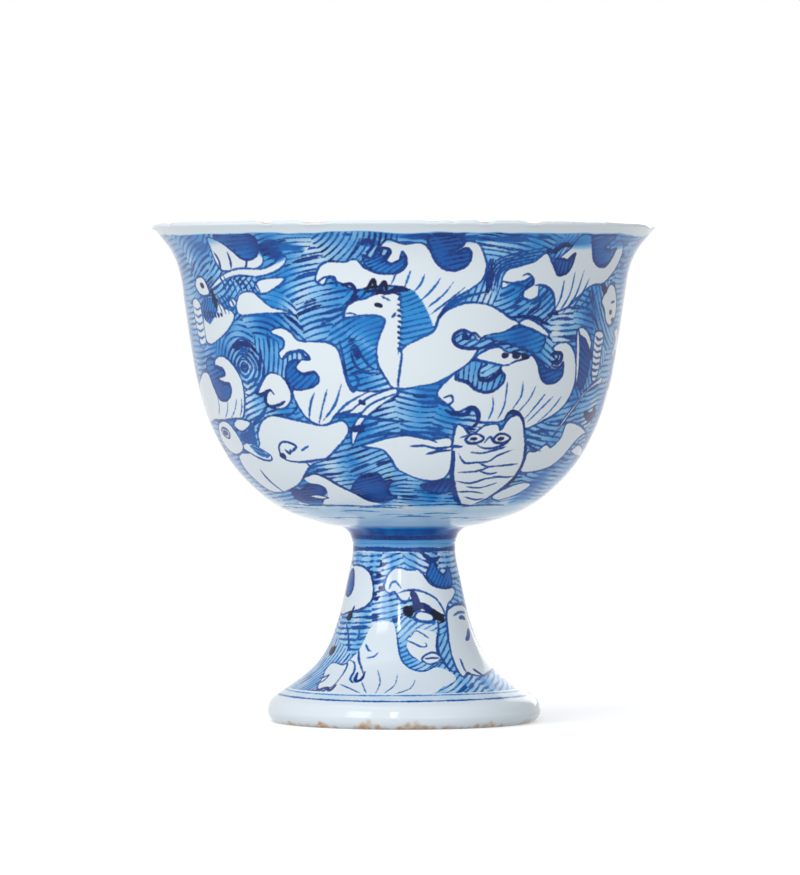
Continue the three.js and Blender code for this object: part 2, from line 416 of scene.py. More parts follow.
def paint_top_waves(s):
    """The low wave above the horse's head and the tall one behind its mane."""
    s.reserve([-22.6, 87.4, -21.4, 89.8, -19, 90.9, -15, 90.8, -11.8, 91.3, -9.8, 89.8, -6.5, 88.7,
        -2, 88.6, 0.2, 89.8, 0.6, 91.3, -0.4, 92.8, -1.3, 91, -3.6, 90.6, -4.6, 91.8, -3.4, 92.8,
        -4.5, 93.4, -6.5, 92.6, -4, 95, 0, 94.2, 4, 94.4, 6.3, 93, 7.6, 91, 10, 89.6, 13, 89.3, 15.8, 90.4,
        16.4, 92.2, 14.8, 93.3, 11.5, 92.2, 13.8, 93.8, 14.2, 94.7, 17.5, 94.4, 19.6, 92.4, 20.8, 90,
        19.8, 87.4, 16.5, 85.4, 12, 83.4, 9, 80.6, 7.8, 77.6, 5, 82, 1, 85.4, -3, 86.2, -8, 86, -12, 85.4,
        -15, 86.4, -17.4, 87.3, -19, 88, -20.5, 86.4], 0.5, 0.66)
    s.pool([5.8, 95.6, 6.5, 93, 7.7, 91, 10, 89.5, 13, 89.2, 15.8, 90.3, 16.4, 92.2, 14.9, 93.4, 12, 92.3,
        10.5, 92.2, 13.8, 93.8, 14, 95, 11.5, 95.8], 14, 40, 0.9, 0.75, 0.85, 0.6)
    s.pool([-10, 92, -9.4, 90, -6.4, 88.7, -2, 88.7, 0, 89.9, 0.3, 92, -1.5, 90.9, -3.8, 90.5, -4.8, 91.7,
        -6.5, 92.3, -8, 91.5], 30, 20, 0.8, 0.75, 0.7, 0.5)
    s.stroke([-6.5, 92.4, -5.4, 93.4, -3.4, 93, -4.4, 91.4, -5.5, 90.8], 0.8, 0.85)
    s.stroke([-10, 94.2, -8.5, 95, -7.4, 93.8, -9, 92.6], 0.9, 0.85)
    s.stroke([-22.4, 86.8, -20, 87.9, -17.6, 87.9, -17, 86.2], 0.55, 0.72)
    s.stroke([-15.6, 86.5, -13.2, 86.5, -12.2, 85, -13.3, 83.9], 0.9, 0.92)
    s.fan([[-3.2, 86.5, -2, 88.5], [0.2, 86, 1.7, 89.3], [2.4, 85, 4.2, 86.6, 5.1, 88.4], [4.4, 83.5,
        7.4, 85.8, 9.2, 87.9], [5.8, 82, 10, 84.6, 12.6, 87.2], [6.6, 80.7, 11.6, 83.6, 15.6, 86.1]], 0.42,
        0.45)
    s.stroke([7.6, 77.4, 9, 80, 12, 82.6, 16, 84.2, 20.5, 85], 0.8, 0.7)


def paint_horse(s):
    """The white horse galloping to the left."""
    s.pool([-15.5, 80, -10, 80.2, -4.5, 79.7, -6, 77, -7, 74.6, -10, 75.2, -15, 77], 26, -24, 1.0, 0.55,
        0.5, 0)
    s.reserve([-15.4, 80.1, -15.3, 81.3, -14.4, 82.5, -12.4, 83.4, -9.6, 83.9, -7.4, 84.6, -5, 85.0,
        -1.2, 84.4, -0.5, 80, -0.2, 76, -0.8, 72, -1.3, 69, -1, 66.6, -3.2, 66.8, -5.2, 68.9, -6.8, 71,
        -7.2, 73.6, -6.6, 76, -5.4, 78.4, -5, 79.8, -7, 80.5, -10, 80.6, -13, 80.3], 0.5, 0.66)
    s.pool([-1.3, 85.2, 1, 85.7, 3.4, 84.5, 5.8, 81.6, 7.6, 77.6, 4, 76.2, -0.4, 74.2, -1.6, 73.2, -1, 77,
        -0.8, 81], 14, 60, 1.05, 0.62, 0.5, 0)
    s.row(11, [-1.6, 84.8, -0.7, 84.5], [0, -1.05] * 2, 0.55, 0.8)
    s.reserve([-1.2, 66.6, -1.2, 69.5, -0.6, 72.6, -0.3, 74.3, 4, 76.2, 7.6, 77.6, 9.2, 80.2, 12, 82,
        16, 83, 21, 82.8, 25, 81.6, 28, 80.2, 31, 79, 27, 77.4, 21, 76.4, 19.6, 75.6, 18, 77, 15, 77.8,
        12.9, 76.4, 13.6, 75, 17, 74.3, 19.6, 74.2, 18, 72, 14.5, 70, 9, 67.7, 4, 67], 0.5, 0.62)
    s.stroke([20.2, 76.2, 18.4, 77.2, 16.6, 76.4, 15.6, 77.6, 13.4, 77.2, 12.9, 75.8, 14.6, 74.6, 19, 74.2,
        24, 74.9, 30, 75.4], 0.75, 0.82)
    s.stroke([16, 77.4, 15.8, 76.4, 17.4, 76.2], 0.9, 0.85)
    s.pool([21, 76.5, 27, 77.5, 31, 78.8, 36, 77.8, 40, 76.2, 38, 73.5, 33, 74.2, 27, 75.4], 14, 60, 1.0,
        0.6, 0.6, 0.4)
    s.reserve([31, 79.2, 33.5, 80, 38, 78.7, 41, 77, 40, 76.6, 36, 77.7, 32, 78.6], 0.5)
    s.reserve([19.2, 72.4, 22, 74, 25.4, 74.6, 28, 73.6, 32, 73.2, 35, 72.6, 31, 71.8, 28, 71, 24, 71.4],
        0.5, 0.66)
    for a in (27.6, 31, 33.6):
        s.stroke([(a - 0.7, 72.9), (a + 0.5, 72.9)], 1.3, 0.95)
    s.reserve([-2, 66.6, -8, 65.4, -12.4, 63.6, -15.4, 61.8, -12, 61.9, -7, 63.6, -3, 64.6], 0.45)
    s.reserve([-1.6, 65.6, -7, 63, -11.4, 60.4, -13.6, 57.8, -15.6, 55.6, -15.4, 58.4, -12.8, 61,
        -9, 63.6], 0.45)
    s.stroke([-12.4, 64.2, -10.8, 63.6], 1.0, 0.85)
    s.stroke([-15.4, 58.6, -12, 59], 1.5, 0.85)
    s.stroke([-19.5, 61.6, -12, 61.2, -4, 60.4, 2, 60.2], 0.7, 0.75)
    s.stroke([-14.2, 74.2, -12.6, 74.8, -11, 72.6, -8.6, 70.6, -6.4, 70], 0.55, 0.75)
    s.stroke([-14, 73.6, -13, 71.2, -10.4, 69.6, -6.8, 69.6], 0.55, 0.75)
    s.stroke([-13, 73.8, -12, 72.6], 1.1, 0.85)
    for a, h in ((-8, 86.4), (-5.2, 86)):
        s.stroke([(a - 1.3, h - 1), (a + 0.3, h + 0.9), (a + 0.9, h - 0.6)], 0.95, 0.98)
    s.stroke([-9.4, 85.1, -6.8, 85.3, -4.6, 84.9, -1.4, 85.5, 1, 85.5], 0.9, 0.92)
    s.stroke([-7.2, 82.7, -5.6, 82.4], 0.95, 1.0)
    s.stroke([-15, 80.9, -13.4, 81, -12.2, 80.7], 0.35, 0.5)
    s.stroke([-5.6, 84.2, -3.4, 83.4], 0.5, 0.6)
    s.stroke([-14.9, 82.8, -11.5, 84.3], 0.8, 0.85)
    s.stroke([-3, 80.2, -2.2, 81], 0.5, 0.6)


def paint_right_waves(s):
    """The waves right of the horse, with their curled tips."""
    s.row(5, [21, 85.5, 21.3, 88.6, 23.4, 91.2, 29, 92.6, 36, 93.6],
          [0.7, -0.1, 0.8, 0, 0.8, -0.35, 0, -0.6, 0, -0.6], 0.5, 0.72)
    s.reserve([25.4, 85.8, 25.2, 87.6, 26.4, 89.3, 30, 90.2, 34, 91, 37, 92.6, 39.6, 90.7, 42, 88.5,
        45, 88.8, 46.5, 90.6, 46.4, 92.6, 44.4, 91.4, 41.8, 91.7, 44, 93.6, 45.5, 96, 49, 96, 52, 93.8,
        54.4, 91.5, 57.5, 90.2, 61.4, 90.3, 63.6, 92, 63.6, 93.8, 61.5, 93.4, 60, 93.8, 62.6, 95.2,
        66, 94.6, 69, 92.6, 68.4, 90.2, 65, 88.2, 61, 86.7, 57, 86.6, 53.4, 85.6, 49, 83.4, 46, 82,
        42.6, 81.5, 41.6, 84, 40.4, 85.4, 38, 86.4, 36.2, 86.2, 36.2, 84.4, 34, 83.5, 31.6, 84.1,
        31.8, 85.4, 34.4, 86.6, 33.8, 88, 31.6, 87.2, 28.5, 86.8], 0.5, 0.66)
    s.pool([40.2, 91.4, 41, 89.6, 42.2, 88.4, 45, 88.8, 46.5, 90.4, 46, 92.4, 44.4, 91.3, 42.6, 91.5], 70,
        20, 0.9, 0.85, 0.85, 0.6)
    s.stroke([36.6, 93.2, 39.4, 93, 41.4, 94.2, 44, 94], 1.1, 0.88)
    s.pool([50, 96, 52, 94.2, 54.4, 91.7, 57.5, 90.4, 61.4, 90.5, 63.5, 92, 63.2, 93.6, 60, 93.4, 57.5, 94,
        59, 96], 8, 60, 1.0, 0.62, 0.72, 0.6)
    s.fan([[42.3, 81.8, 43.8, 84, 44.5, 87.4], [43.6, 81.2, 47, 84.6, 48.2, 89.2], [45, 81, 49.5, 84.6,
        51.7, 89.5], [48, 81.4, 52, 84.8, 54.6, 88], [50.4, 81.6, 54, 83.6, 56.6, 86.4], [53.4, 81.8,
        57, 83.6, 59.4, 85.6]], 0.5, 0.5)
    s.stroke([31, 88.2, 32.6, 88.6, 34.2, 87.6, 33.4, 86.2, 29, 86.6, 25.2, 87.2], 0.55, 0.7)
    s.stroke([35, 86.4, 37, 86.4, 40, 85.6, 41.6, 83.6], 0.6, 0.7)
    s.stroke([25, 81.4, 28, 80.2, 32, 80.4, 36.5, 80, 40, 78.8], 0.8, 0.85)
    s.reserve([14.6, 70.2, 13.8, 68.4, 17, 67.6, 20, 66.2, 24, 65.8, 27.4, 67.3, 28, 69, 26.4, 70.4,
        28, 71.4, 33, 72.1, 35.6, 73, 38, 71.6, 39.6, 69, 42, 67.6, 46, 67.8, 48, 69.3, 47.6, 71.6,
        46, 70.6, 43.4, 71, 45.4, 72.6, 43, 74.2, 45.4, 75.3, 49, 75.2, 52, 73.2, 53.6, 70, 54, 66.6,
        52, 63.6, 48, 61.4, 42, 59.6, 38, 58.7, 36.4, 60, 34, 61.6, 31, 62, 29.4, 60.3, 25, 60, 21.4, 60.2,
        21.2, 62, 18.6, 63, 15, 62, 12.6, 63.2, 9, 65.8], 0.5, 0.66)
    s.pool([14.4, 70.6, 14.2, 68.6, 17.4, 67.8, 20.2, 66.3, 24, 65.9, 27.4, 67.4, 27.8, 69, 26, 69.6,
        23, 68.2, 20.6, 68.4, 20.4, 70.2, 22.4, 71.4, 18, 72], 80, 30, 1.1, 0.75, 0.45, 0.6)
    s.stroke([20.6, 68.6, 23, 68.1, 25.4, 69, 26.4, 70.2], 0.9, 0.9)
    s.pool([36.4, 73, 38, 71.5, 39.6, 69, 42, 67.6, 46, 67.8, 48, 69.4, 47.4, 71.4, 45.8, 70.2, 42, 70.2,
        39.6, 71.4], 10, 40, 0.8, 0.8, 0.85, 0.6)
    s.stroke([42.4, 73, 44.6, 73.4, 46.6, 73, 46, 71.6, 43, 71.6], 1.0, 0.85)
    s.fan([[24.6, 60.5, 25.5, 62.6, 25, 65.2], [27.6, 60.6, 29, 63.4, 29, 67.8], [31.6, 62.4, 34, 65,
        34, 67.9], [33.6, 61.7, 37, 64.4, 38.6, 67], [36.6, 60.5, 40, 63.3, 42.6, 65.5], [38, 60, 42, 62.6,
        46, 65], [42, 60, 46, 62.2, 49.4, 65]], 0.46, 0.46)
    s.stroke([30, 61, 31.6, 62, 34, 61.6, 36.4, 60, 37.6, 58.2], 0.9, 0.88)
    s.stroke([8, 65.2, 11, 63.4, 13.4, 64, 13, 65.2, 11, 64.8], 0.6, 0.7)
    s.stroke([11.6, 62.4, 14, 61.6, 17.6, 61.6, 19, 62.8, 21, 62, 21.4, 60, 19, 58.6], 1.0, 0.88)


def paint_right_edge(s):
    """The long-necked animal that looks out at the right edge."""
    s.reserve([52, 77.6, 53.6, 78.4, 56.6, 77.6, 59.4, 75.4, 59, 73.8, 56.4, 75.8, 53.6, 76.6], 0.5, 0.7)
    s.reserve([51.8, 77.4, 53, 77, 54.4, 72.6, 55.4, 67.6, 54.6, 67.6, 53, 72], 0.45, 0.7)
    s.pool([53.6, 76.4, 56.4, 75.6, 59.2, 73.6, 60, 70, 58.4, 66.4, 55.8, 67, 54.6, 72], -30, 20, 1.1,
        0.85, 0.8, 0.4)
    s.reserve([61, 77.4, 66.2, 77, 66.4, 73, 66.6, 69.4, 65.4, 67.8, 63.2, 68, 61.8, 70.4, 61, 74], 0.5,
        0.7)
    s.row(7, [61.3, 76.6, 63.6, 75.9, 66.3, 76.3], [0, -1.25, 0, -1.2, 0, -1.25], 0.55, 0.72)
    s.reserve([64.2, 85.6, 66.6, 86.9, 70, 86.2, 72.8, 83.8, 74, 81.4, 72.6, 79.4, 69.4, 78.6, 66.4, 79.6,
        64.6, 81.6, 62, 83.4], 0.6, 0.75)
    s.stroke([61.4, 86.2, 64.2, 85.5], 1.5, 0.95)
    s.stroke([68.4, 81.4, 70, 81.2], 1.2, 1.0)
    s.stroke([70.6, 79.9, 73.4, 79.7], 1.1, 0.95)
    s.stroke([68.6, 83.2, 71.4, 83.4], 0.6, 0.8)
    s.reserve([50.6, 56.8, 53.4, 59.6, 57, 62.6, 61, 65.4, 66, 66.8, 70.6, 67.4, 70.4, 68.6, 67.4, 68,
        62, 66.4, 57.4, 63.8, 53, 60.4], 0.45, 0.75)
    s.reserve([55.4, 59.6, 62, 59.4, 70, 58, 78, 55.6, 72, 57.4, 66, 56.2, 61.6, 53, 57, 51, 50, 50.2,
        42.4, 50.4, 42, 54, 45.4, 54.2, 49, 55.6, 52, 55, 55, 56.8], 0.5, 0.66)
    s.stroke([62, 53.4, 66.4, 56.4, 71, 57.6], 0.5, 0.55)
    s.stroke([64, 61.6, 68, 60.8, 72.6, 61.2, 70, 62.4], 1.8, 0.9)
    s.reserve([66, 54, 70, 55.2, 76, 54.6, 84, 53, 76, 53, 70, 53.4], 0.4, 0.6)
    s.reserve([37, 45.4, 42, 47.2, 48, 48, 53.4, 47.6, 51, 46, 46, 45, 41, 44.6], 0.45)


def paint_deer(s):
    """The big-eyed animal at lower left."""
    s.reserve([-69, 50.5, -66.6, 47.6, -62, 46, -55, 46, -48, 46.6, -41, 47.8, -36, 49.6, -31, 51.7,
        -25, 53, -19, 56, -16.2, 58.6, -18, 60.4, -24, 59.4, -30, 60.1, -36, 60.9, -41, 61.2, -45.6, 60,
        -49, 57.6, -50.4, 55.4, -57, 54, -66, 53.4], 0.5, 0.64)
    s.reserve([-60.4, 54.9, -57, 55.8, -54, 55.8, -50.4, 54.6, -47, 53.3, -48.2, 52.4, -52.4, 52.6,
        -57, 53.7], 0.5, 0.66)
    s.pool([-55.6, 55.2, -53, 55.2, -49.4, 54, -47.6, 53.3, -49, 52.9, -53, 53.4], -18, 40, 0.8, 0.6, 0.6,
        0)
    s.reserve([-76, 56, -73, 58.8, -68, 59.9, -63.6, 59.8, -61, 58.4, -59.6, 56.4, -60, 54.8, -63, 53.8,
        -68, 53.3, -73, 54], 0.5, 0.66)
    s.reserve([-71.6, 57.8, -69, 58.6, -66, 58.3, -65.3, 57.4, -67.4, 56.6, -70.4, 56.9], 0.5, 0.75)
    s.stroke([-70.4, 57.6, -66.6, 57.6], 1.4, 0.8)
    s.reserve([-60, 59.2, -57.6, 60.3, -54, 60.4, -50.4, 59.8, -53, 58.6, -57, 58], 0.5)
    s.pool([-58.6, 57.4, -54, 58, -49.8, 59.4, -50.6, 57, -51.6, 55.4, -58, 55.9], 6, 40, 0.9, 0.7, 0.8, 0)
    s.stroke([-42.4, 53.4, -41.8, 55, -40, 56, -37.6, 56.1, -35, 55.3, -36.6, 54.4, -38.6, 54], 0.6, 0.72)
    s.stroke([-39.6, 54.6, -38.4, 53.9, -37.4, 54.6], 0.6, 0.72)
    s.stroke([-42.2, 53.2, -40.4, 52.5, -36, 52.2, -31, 52.4, -25, 53], 0.6, 0.68)
    s.stroke([-42.2, 53.4, -41, 53.3], 1.2, 0.85)
    s.stroke([-33.4, 54.4, -30.4, 55.4], 0.5, 0.55)
    s.stroke([-33, 52, -31.2, 50.9], 0.5, 0.6)
    s.stroke([-57.2, 50.4, -56.4, 48.2, -53.6, 46.2], 0.7, 0.72)
    s.reserve([-52, 42, -49.6, 44.2, -44, 43.4, -39, 43.3, -35, 44.4, -31, 45.6, -30.6, 46.8, -35, 47.8,
        -37, 49, -32, 49.8, -28, 49.2, -23, 47.2, -17, 45.4, -10, 44, -4, 42.6, 2, 41.6, -10, 40.8,
        -30, 40.6, -45, 40.8], 0.5, 0.66, False)
    s.stroke([-37.4, 49, -32, 49.9, -28, 49.2, -23, 47.3, -17, 45.6, -13, 44.6], 0.7, 0.8)
    s.pool([-49.6, 44.6, -47.4, 46.4, -42, 46.6, -36, 47.8, -31.2, 47.4, -30.8, 46.5, -34, 45.4, -36.4, 44,
        -40, 43.4, -45, 43.7], 6, 60, 0.8, 0.85, 0.92, 0.6)
    s.reserve([-40, 45.4, -36, 45.6, -31.4, 45.2, -35, 44.9], 0.3, 0.8)
    s.reserve([-12.6, 55.4, -9.4, 56.2, -5, 57, 1, 57.5, 8, 56.8, 13.6, 57, 14.8, 55, 15.4, 51.4, 14, 49.3,
        10, 48.6, 5, 49, 0, 50.2, -2.6, 51.2, -4.4, 53.2, -7, 54.8], 0.5, 0.62)
    s.stroke([-15, 56.3, -10, 57.3, -3, 57.9, 5, 57.3, 9.8, 56.2], 0.8, 0.7)
    s.pool([-19.4, 47, -15, 49.4, -11, 50, -8.2, 49.8, -7.6, 48.6, -4.2, 48.7, -6, 47.4, -5.2, 45.9,
        -3, 45.4, -8, 44.5, -13, 44.5, -18, 45.8], 18, 60, 0.8, 0.85, 0.9, 0.6)


def paint_fish(s):
    """The scaled fish with a cat's face at lower right."""
    s.reserve([15.2, 59.4, 17.4, 59.2, 20.2, 57.6, 24, 59.4, 28, 59.6, 29.4, 58.6, 31, 60.6, 34, 61.4,
        36.4, 60, 38, 58, 39.6, 56, 41.6, 53, 42, 50.4, 40.4, 48, 38, 46, 34, 44.6, 28, 43.6, 22, 44.4,
        18.6, 46.6, 16.2, 49.6, 15.4, 53, 14.6, 56], 0.55, 0.7)
    for a in (21.6, 30.6):
        s.reserve([(a - 3, 56.7), (a - 1.4, 57.7), (a + 1, 57.6), (a + 2.8, 56.8), (a + 0.6, 56), (a - 1.8,
            56)], 0.6, 0.8)
        s.stroke([(a - 1.4, 56.8), (a + 0.4, 56.8)], 0.9, 0.9)
    s.stroke([24.8, 56, 26.2, 57.2, 27.4, 56.4], 0.5, 0.6)
    s.stroke([22.6, 55.6, 25, 55, 28.4, 55, 31.4, 55.6, 33.6, 56.6], 0.6, 0.75)
    s.stroke([21, 54.2, 25, 54, 29, 54.6, 32.6, 55.2], 0.55, 0.7)
    s.stroke([20.4, 57.6, 18.6, 57.4, 16.6, 57], 0.45, 0.5)
    for line in [[14.6, 55.3, 10, 55, 6, 55.5, 1.6, 55.4], [15, 54.6, 11, 54.5, 6.6, 53.8], [14, 57.2,
                8, 58, 2, 58.2, -3.4, 57.8], [14, 55.4, 18, 55.3], [38, 57.2, 42, 56.9, 46, 56.7],
                [39, 56.4, 43, 55, 48, 54.2], [40, 57.8, 45, 58.2, 49, 57.4]]:
        s.stroke(line, 0.65, 0.72, 0.8)
    for line in [[17, 54, 19.6, 52.2, 24, 52.2, 28, 52.4, 31, 53.6, 36, 54.7], [24, 52.3, 28, 51.4,
                33, 51.5, 40, 51.8], [18, 50.3, 24, 50.4, 29, 51.2], [25, 50.6, 30, 49.9, 33, 50.2],
                [18.4, 48.6, 24, 48.1, 30, 49, 36, 49.2], [23, 47.4, 29, 47.2, 35, 48.1], [20, 46.4,
                26, 46.4, 32, 46], [24, 45.4, 30, 44.8, 34, 45], [32, 49.4, 38, 49.2, 41, 49.4]]:
        s.stroke(line, 0.55, 0.7, 0.8)
    s.stroke([15.4, 54.4, 15.8, 51.6, 16.6, 49.6, 19, 46.6, 22.4, 44.6, 28, 43.2], 1.0, 0.78)
    s.stroke([40, 55.4, 41.6, 53, 42, 50.6, 41.4, 48.6, 39, 46.8, 35.6, 45.2], 1.0, 0.78)
    s.pool([6, 47.8, 10, 48.3, 14, 49, 17.6, 48.4, 18.4, 46.6, 13, 46.2, 9, 46.6], 70, 60, 1.1, 0.85, 0.9,
        0.5)
    s.stroke([2.4, 45.4, 5, 45.6], 0.9, 0.8)


def paint_base_of_bowl(s):
    """Pale water, loose strokes and painted shade where the bowl turns in above the stem."""
    low = s.z < PALE_BELOW
    fade = np.clip((PALE_BELOW - s.z[low]) / 1.6, 0, 1)[:, None]
    s.line[low] = np.where(s.line[low] > -1, s.line[low] - 0.5 * fade, s.line[low])
    s.wash[low] *= 1 - 0.75 * fade
    for k in range(64):
        a = -180 + k * 5.6 + RNG.uniform(-3, 3)
        h = RNG.uniform(40.0, 43.9)
        s.stroke([(a, h), (a + 9, h + 0.25), (a + 22, h + RNG.uniform(-0.2, 0.3))], RNG.uniform(0.35, 0.6),
            RNG.uniform(0.2, 0.5), 1.0)
    # Painted shade: a pale blue wash that deepens below 44.5 mm, standing in for the shadow on the
    # underside of the bowl
    s.wash = np.maximum(s.wash, 0.16 * np.clip((44.5 - s.z) / 2, 0, 1)[:, None])
    band = np.clip((NECK_WASH_TOP - s.z) / 0.8, 0, 1)[:, None]
    s.wash = np.maximum(s.wash, (0.82 + 0.1 * ripple(s.x, s.y, 8, 61)) * band)
    s.turn = 0
    s.stroke([(a, NECK_LINE) for a in range(-180, 181, 12)], 0.8, 0.8, 0)


def paint_rim(s):
    """The blue border under the bare lip."""
    around = s.x[0]
    edge = BARE_LIP + 0.22 * ripple(around, 0 * around, 9, 3) + 0.1 * ripple(around, 0 * around, 2, 4)
    height = s.z[:, None] + 0 * s.x
    foot = BORDER_FOOT + 0.9 * ripple(s.x, 0 * s.x, 11, 8)
    band = np.clip((height - foot) / 1.4, 0, 1)
    s.wash = np.maximum(s.wash, band * (0.52 + 0.2 * ripple(s.x, s.y, 7, 12)))
    for turn in SIDES:
        s.turn = turn
        for blot in RIM_BLOTS:
            s.blot(*blot)
    bare = np.clip((height - edge) / 0.25, 0, 1)
    s.wash *= 1 - bare
    s.line = np.where(bare > 0, np.minimum(s.line, 0.3 - 1.6 * bare), s.line)


def paint_bowl(s):
    """The whole painting of the bowl: the sea, waves for the gaps, then both sides."""
    paint_sea(s, SEA)
    for turn in TALL_WAVES:
        s.turn = turn
        paint_left_wave(s)
    for turn in SMALL_WAVES:
        s.turn = turn
        s.reserve([30, 84, 32, 87.6, 35.6, 89.6, 39, 88.6, 40.4, 86, 38.6, 84.4, 36.8, 85.6, 35, 84,
            38, 82.6, 34, 81.6])
        s.reserve([28, 52, 31, 55, 36, 56.4, 40, 54.6, 39, 52.4, 36.4, 53.6, 35.6, 51.6, 39, 50, 33, 49.4])
    for turn in SIDES:
        s.turn = turn
        for part in (paint_upper_left, paint_left, paint_left_wave, paint_top_waves, paint_right_waves,
                     paint_right_edge, paint_horse, paint_deer, paint_fish):
            part(s)
    paint_base_of_bowl(s)
    paint_rim(s)


def paint_stem_side(s):
    """The animals and waves on the stem and foot."""
    s.reserve([-84, 31, -70, 31.2, -60, 31.3, -48, 31, -38, 29.9, -33, 28, -31, 26, -32.4, 24.4, -40, 23,
        -55, 22.2, -84, 22], 0.5, 0.7)
    s.pool([-80, 29, -74, 30.2, -67, 30.2, -61.4, 28.2, -61, 26.4, -67, 25.2, -76, 25.4, -80, 26], 0, 40,
        0.9, 0.7, 0.75, 0.5)
    for a, h in ((-36, 30), (-27, 29.6), (-31.4, 28.2), (-29.6, 25.8), (-23, 27), (-28, 24.9), (-24, 31.6)):
        s.stroke([(a - 1.6, h), (a + 1.6, h - 0.1)], 0.8, 0.88)
    s.reserve([-20, 27, -18.4, 29, -13, 30.5, -6, 31, 5, 30.6, 15, 30.6, 21, 29.6, 26, 28, 33, 27.2,
        45, 26.8, 56, 27, 60, 26, 52, 24.6, 45, 23.6, 40, 21.6, 33, 22, 26, 23, 16, 24, 8, 24.6, 0, 24.4,
        -4, 24.8, -9, 26.2, -14, 26], 0.45, 0.55)
    s.pool([24, 29.4, 29, 28, 36, 27.2, 46, 26.9, 56, 27.6, 58, 29.4, 54, 31, 50, 30, 44, 29.6, 37, 31,
        33, 32.6, 28, 31], 60, 30, 0.9, 0.62, 0.7, 0.5)
    s.stroke([22, 33.6, 28, 32.8, 34, 32.2, 42, 33], 1.1, 0.8)
    s.stroke([-15, 26.8, -12.6, 28, -8, 28.2, -3, 27], 0.4, 0.42)
    s.stroke([-4, 24.6, 0, 24, 3.6, 24.4, 5, 25.2], 0.4, 0.42)
    s.stroke([-6, 26, 2, 26.5, 12, 26.6, 22, 26, 32, 24.8, 38, 23, 40.4, 21.4], 0.5, 0.62)
    s.stroke([8, 26.2, 10.6, 25, 12.6, 23.6], 1.7, 0.85)
    s.stroke([2.6, 22.4, 8, 23, 13, 23.6, 19, 23.4, 26, 22.4, 33, 21.6], 1.3, 0.9)
    s.stroke([2.4, 22.6, 5.4, 22], 1.7, 1.0)
    s.stroke([28, 21.8, 32, 21.4, 36, 20.9], 1.8, 1.15)
    s.reserve([9.6, 21.6, 13, 22.4, 19, 22.3, 25, 21.8, 27, 21, 23, 20.5, 16, 20.6, 11, 20.9], 0.4, 0.66)
    s.stroke([5, 21.6, 9, 20.9, 15, 20.4, 22, 20.2, 28, 20.3], 0.5, 0.66)
    s.pool([-6.6, 19, -5, 16.4, -3, 13.8, 1, 12.2, 7, 11.2, 14, 11.1, 20, 11.8, 26, 12.6, 26, 15, 28, 18,
        31, 20, 20, 19.9, 8, 20.6, 0, 21.6], 34, 60, 1.0, 0.34, 0.2, 0)
    s.reserve([2, 15, 6, 13.6, 12, 12.9, 20, 12.5, 26.6, 13.2, 26, 15.4, 27, 18, 20, 18.6, 10, 19,
        4, 17.4], 0.3, 0.4, False)
    s.stroke([-7, 19, -4.6, 16, -2.6, 13.6, 2, 11.9, 8, 11.1, 14, 11, 20, 11.8, 27, 12.8], 0.5, 0.62)
    s.stroke([30.6, 20.4, 30, 18.6, 27, 16.6, 26, 14.4, 28.6, 12.4, 31, 11, 36, 10.7], 0.7, 0.74)
    s.reserve([12.6, 13.2, 17, 14.2, 23, 14.4, 27.4, 13.4, 23, 12.6, 17, 12.3], 0.45, 0.66)
    s.stroke([15, 13.3, 20, 13.4, 25, 13.4], 0.6, 0.7)
    s.stroke([4.6, 17.4, 9, 18.6, 14, 18.3, 20.4, 17.2], 0.4, 0.5)
    s.stroke([2.6, 16.8, 8, 16.2, 13, 15.6, 17.4, 15.7, 17, 16.4], 0.4, 0.52)
    s.stroke([1.6, 15.4, 5, 13.9, 9.6, 13.2], 0.4, 0.5)
    s.reserve([36, 10.6, 41, 21.2, 50, 23.2, 62, 23.6, 76, 23, 90, 21, 90, 12, 76, 10.8, 64, 10.2, 52, 9.7,
        43, 10.3], 0.55, 0.7)
    s.stroke([50, 21.4, 60, 22, 73, 21.8], 0.55, 0.55)
    s.stroke([58, 20.9, 63, 21, 68, 20.7], 1.0, 0.75)
    s.stroke([59, 16.6, 64, 17.2, 70, 18.4], 1.2, 0.7)
    s.stroke([41.6, 10.6, 42.4, 11.8, 43, 13], 0.6, 0.7)
    s.stroke([42.4, 10.4, 44, 10.3], 1.0, 0.85)
    s.stroke([50, 11, 52, 10.4, 54.6, 9.6], 0.9, 0.8)
    s.reserve([30, 10.6, 31, 9.4, 24, 8.4, 20, 8, 14, 6.9, 0, 6.8, -20, 6.8, -42, 6.8, -42, 12, -36, 14.6,
        -28, 19.6, -12, 20.4, -7.4, 19, -4, 14, 2, 11.6, 12, 10.8, 22, 11.6], 0.4, 0.5, False)
    s.stroke([-60, 19.9, -55, 18.6, -50, 16.8, -46.6, 15.2, -42, 14.9, -36.4, 14.9], 0.55, 0.68)
    s.stroke([-36, 14.8, -33, 13, -29, 11.6, -25.4, 10.4], 0.55, 0.66)
    s.stroke([-41, 12.9, -36, 12.4, -33, 11, -32.4, 9.4, -29, 8.7], 0.5, 0.66)
    s.stroke([-30, 10.6, -29, 9.4, -27, 9, -25, 9.6, -25, 10.8], 0.75, 0.8)
    s.stroke([-47, 16.6, -42, 16.7, -39.4, 17.6, -41, 18.6], 0.5, 0.5)
    s.stroke([-31, 16, -28, 15, -25.4, 14.7], 0.5, 0.45)
    s.stroke([-27, 13.4, -22, 13.7, -19.6, 14.4], 0.4, 0.4)
    s.stroke([-56, 21.2, -53, 23.2], 0.8, 0.8)
    s.stroke([-58.4, 21, -55.6, 21.3], 2.0, 0.98)
    s.stroke([-68.6, 14.3, -65.4, 14.4], 2.0, 0.98)
    s.reserve([-58, 12, -52, 12.2, -46, 11.9, -41, 12, -40, 9, -42, 7.4, -48, 7.2, -52, 8, -55, 9.6,
        -58.6, 10.6], 0.4, 0.66)
    s.stroke([-57, 9.3, -54, 9.4, -51, 9.9, -51, 8.8, -54.6, 8.2], 0.6, 0.8)
    s.stroke([-55, 6.9, -50, 7, -44, 7.6, -40, 7.2, -39, 8.2], 0.8, 0.85)
